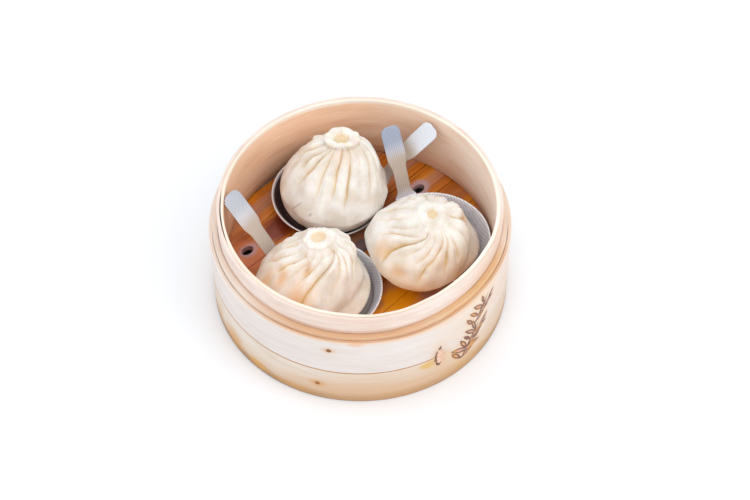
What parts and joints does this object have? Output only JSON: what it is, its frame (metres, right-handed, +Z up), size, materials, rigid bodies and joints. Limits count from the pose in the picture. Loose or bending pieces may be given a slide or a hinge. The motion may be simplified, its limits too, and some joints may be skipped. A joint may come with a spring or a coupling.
{
  "type": "basket of steamed soup dumplings",
  "caption": "Round bamboo steamer basket holding pleated soup dumplings, each on a small pressed steel tray with an upright handle.",
  "frame": {"origin": "middle of the basket's foot, on the surface it stands on", "axes": "+Z up, -Y the front of the basket, where the scorched sprig and the seam's stitch are, +X to the right seen from the front"},
  "size_m": [0.15, 0.15, 0.0672],
  "materials": {
    "pale_bamboo": "matt, washed nearly white",
    "bamboo_lining": "matt, peach tan, fibrous along the hoop",
    "bamboo_core": "matt, tan",
    "glossy_bamboo": "glossy orange brown, wet",
    "peg_bamboo": "matt brown",
    "pressed_steel": "bright, with a fine embossed dot pattern",
    "steamed_dough": "moist, cream, a little translucent"
  },
  "bodies": {
    "root": {"collar": "pale_bamboo", "upper_band": "pale_bamboo", "lower_band": "pale_bamboo", "lining": "bamboo_lining", "core_hoop": "bamboo_core", "floor_ring": "bamboo_core", "batten_1": "bamboo_core", "batten_2": "bamboo_core", "slat_1": "glossy_bamboo", "slat_2": "glossy_bamboo", "slat_3": "glossy_bamboo", "slat_4": "glossy_bamboo", "slat_5": "glossy_bamboo", "slat_6": "glossy_bamboo", "slat_7": "glossy_bamboo", "slat_8": "glossy_bamboo", "peg_upper_1": "peg_bamboo", "peg_upper_2": "peg_bamboo", "peg_upper_3": "peg_bamboo", "peg_lower_1": "peg_bamboo", "peg_lower_2": "peg_bamboo", "peg_lower_3": "peg_bamboo", "seam_stitch": "peg_bamboo", "tray_back": "pressed_steel", "dumpling_back": "steamed_dough", "tray_right": "pressed_steel", "dumpling_right": "steamed_dough", "tray_left": "pressed_steel", "dumpling_left": "steamed_dough"}
  },
  "joints": []
}
